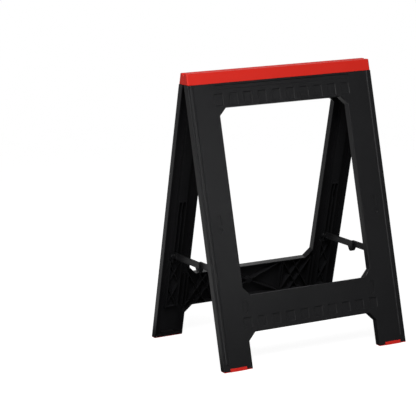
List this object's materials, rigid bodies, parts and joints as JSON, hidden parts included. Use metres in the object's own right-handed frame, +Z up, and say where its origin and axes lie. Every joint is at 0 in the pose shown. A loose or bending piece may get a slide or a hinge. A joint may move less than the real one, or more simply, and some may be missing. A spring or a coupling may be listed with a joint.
{
  "type": "folding sawhorse",
  "caption": "Folding sawhorse: two ribbed moulded A-frames hinged under red top caps, red feet, and folding braces that hold the legs apart.",
  "frame": {"origin": "on the floor, under the middle of the hinge, with the sawhorse standing open", "axes": "+Z up, X along the top caps, the front frame's feet towards -Y"},
  "size_m": [0.588, 0.4248, 0.78],
  "materials": {
    "frame_black": "black moulded polypropylene with a fine satin grain",
    "link_black": "black moulded polypropylene, satin",
    "cap_red": "red moulded plastic, satin with a fine grain",
    "foot_red": "red non-slip rubber",
    "steel": "zinc-plated steel"
  },
  "bodies": {
    "front": {"front_frame": "frame_black", "front_top_cap": "cap_red", "front_left_foot": "foot_red", "front_right_foot": "foot_red", "centre_hinge_pin": "steel", "right_hinge_pin": "steel", "left_front_brace_pin": "link_black", "right_front_brace_pin": "link_black"},
    "back": {"back_frame": "frame_black", "back_top_cap": "cap_red", "back_left_foot": "foot_red", "back_right_foot": "foot_red", "left_hinge_pin": "steel", "left_back_brace_pin": "link_black", "right_back_brace_pin": "link_black"},
    "left_front_link": {"left_front_brace_link": "link_black", "left_brace_screw": "link_black"},
    "left_back_link": {"left_back_brace_link": "link_black", "left_brace_post": "link_black"},
    "right_front_link": {"right_front_brace_link": "link_black", "right_brace_screw": "link_black"},
    "right_back_link": {"right_back_brace_link": "link_black", "right_brace_post": "link_black"}
  },
  "joints": [
    {"name": "leg_fold", "type": "hinge", "parent": "front", "child": "back", "pos_m": [0, 0, 0.742], "axis": [-1, 0, 0], "range_deg": [0, 28]},
    {"name": "left_front_brace_fold", "type": "hinge", "parent": "front", "child": "left_front_link", "pos_m": [-0.25075, -0.13603, 0.2485], "axis": [1, 0, 0], "range_deg": [0, 76]},
    {"name": "left_back_brace_fold", "type": "hinge", "parent": "back", "child": "left_back_link", "pos_m": [-0.25075, 0.13603, 0.2485], "axis": [-1, 0, 0], "range_deg": [0, 76]},
    {"name": "right_front_brace_fold", "type": "hinge", "parent": "front", "child": "right_front_link", "pos_m": [0.25075, -0.13603, 0.2485], "axis": [1, 0, 0], "range_deg": [0, 76]},
    {"name": "right_back_brace_fold", "type": "hinge", "parent": "back", "child": "right_back_link", "pos_m": [0.25075, 0.13603, 0.2485], "axis": [-1, 0, 0], "range_deg": [0, 76]}
  ],
  "couplings": [
    {"joint": "left_front_brace_fold", "follows": "leg_fold", "ratio": 2.7143},
    {"joint": "left_back_brace_fold", "follows": "leg_fold", "ratio": 2.7143},
    {"joint": "right_front_brace_fold", "follows": "leg_fold", "ratio": 2.7143},
    {"joint": "right_back_brace_fold", "follows": "leg_fold", "ratio": 2.7143}
  ]
}
